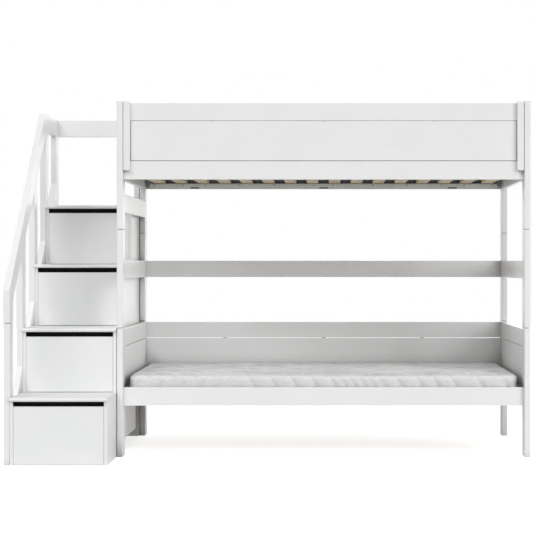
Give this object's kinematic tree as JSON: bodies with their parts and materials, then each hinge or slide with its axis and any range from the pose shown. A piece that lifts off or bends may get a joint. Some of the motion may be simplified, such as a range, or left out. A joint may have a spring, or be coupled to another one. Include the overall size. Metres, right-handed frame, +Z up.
{
  "type": "bunk bed with stairs",
  "caption": "White timber bunk bed with framed guards and slatted bases, and a boxed stair at one end whose steps are drawers, beside a sloped balustrade.",
  "frame": {"origin": "middle of the footprint's bounding box, on the floor", "axes": "+X along the bed, with the stair at the -X end; +Y from the open front to the wall side; +Z up"},
  "size_m": [2.572, 1.303, 1.783],
  "materials": {
    "white_paint": "satin white paint on timber",
    "slat_wood": "raw pine",
    "mattress_cover": "white quilted knit",
    "slot_black": "matt black paint on board",
    "zinc_steel": "zinc plated",
    "drawer_board": "white faced board",
    "spacer_plastic": "moulded white plastic"
  },
  "bodies": {
    "bunk_bed": {"back_left_post_lower": "white_paint", "back_left_post_middle": "white_paint", "back_left_post_upper": "white_paint", "back_right_post_lower": "white_paint", "back_right_post_middle": "white_paint", "back_right_post_upper": "white_paint", "balusters": "white_paint", "bed_bolts": "zinc_steel", "drawer_runners": "drawer_board", "entry_guard": "white_paint", "front_guard_battens": "white_paint", "front_guard_panel": "white_paint", "front_guard_top_board": "white_paint", "front_left_post_lower": "white_paint", "front_left_post_middle": "white_paint", "front_left_post_upper": "white_paint", "front_right_post_lower": "white_paint", "front_right_post_middle": "white_paint", "front_right_post_upper": "white_paint", "handrail": "white_paint", "lower_back_side": "white_paint", "lower_front_rail": "white_paint", "lower_left_end": "white_paint", "lower_mattress": "mattress_cover", "lower_right_end": "white_paint", "lower_slats": "slat_wood", "lower_sloped_rail": "white_paint", "middle_back_board": "white_paint", "middle_left_board": "white_paint", "middle_right_board": "white_paint", "panel_spacers": "spacer_plastic", "post_tenons": "slat_wood", "slat_ledgers": "white_paint", "slot_rails": "slot_black", "stair_back_panel": "white_paint", "stair_back_posts": "white_paint", "stair_back_rail": "white_paint", "stair_front_post": "white_paint", "stair_left_side": "white_paint", "stair_right_side": "white_paint", "stair_support_board": "white_paint", "top_side_rail": "white_paint", "tread_1": "white_paint", "tread_2": "white_paint", "tread_3": "white_paint", "tread_4": "white_paint", "upper_back_guard": "white_paint", "upper_front_rail": "white_paint", "upper_left_rail": "white_paint", "upper_mattress": "mattress_cover", "upper_right_end": "white_paint", "upper_slats": "slat_wood"},
    "drawer_1": {"drawer_1_box": "drawer_board", "drawer_1_front": "white_paint"},
    "drawer_2": {"drawer_2_box": "drawer_board", "drawer_2_front": "white_paint"},
    "drawer_3": {"drawer_3_box": "drawer_board", "drawer_3_front": "white_paint"},
    "drawer_4": {"drawer_4_box": "drawer_board", "drawer_4_front": "white_paint"}
  },
  "joints": [
    {"name": "drawer_1_slide", "type": "slide", "parent": "bunk_bed", "child": "drawer_1", "axis": [0, -1, 0], "range_m": [0, 0.4]},
    {"name": "drawer_2_slide", "type": "slide", "parent": "bunk_bed", "child": "drawer_2", "axis": [0, -1, 0], "range_m": [0, 0.4]},
    {"name": "drawer_3_slide", "type": "slide", "parent": "bunk_bed", "child": "drawer_3", "axis": [0, -1, 0], "range_m": [0, 0.4]},
    {"name": "drawer_4_slide", "type": "slide", "parent": "bunk_bed", "child": "drawer_4", "axis": [0, -1, 0], "range_m": [0, 0.19]}
  ]
}
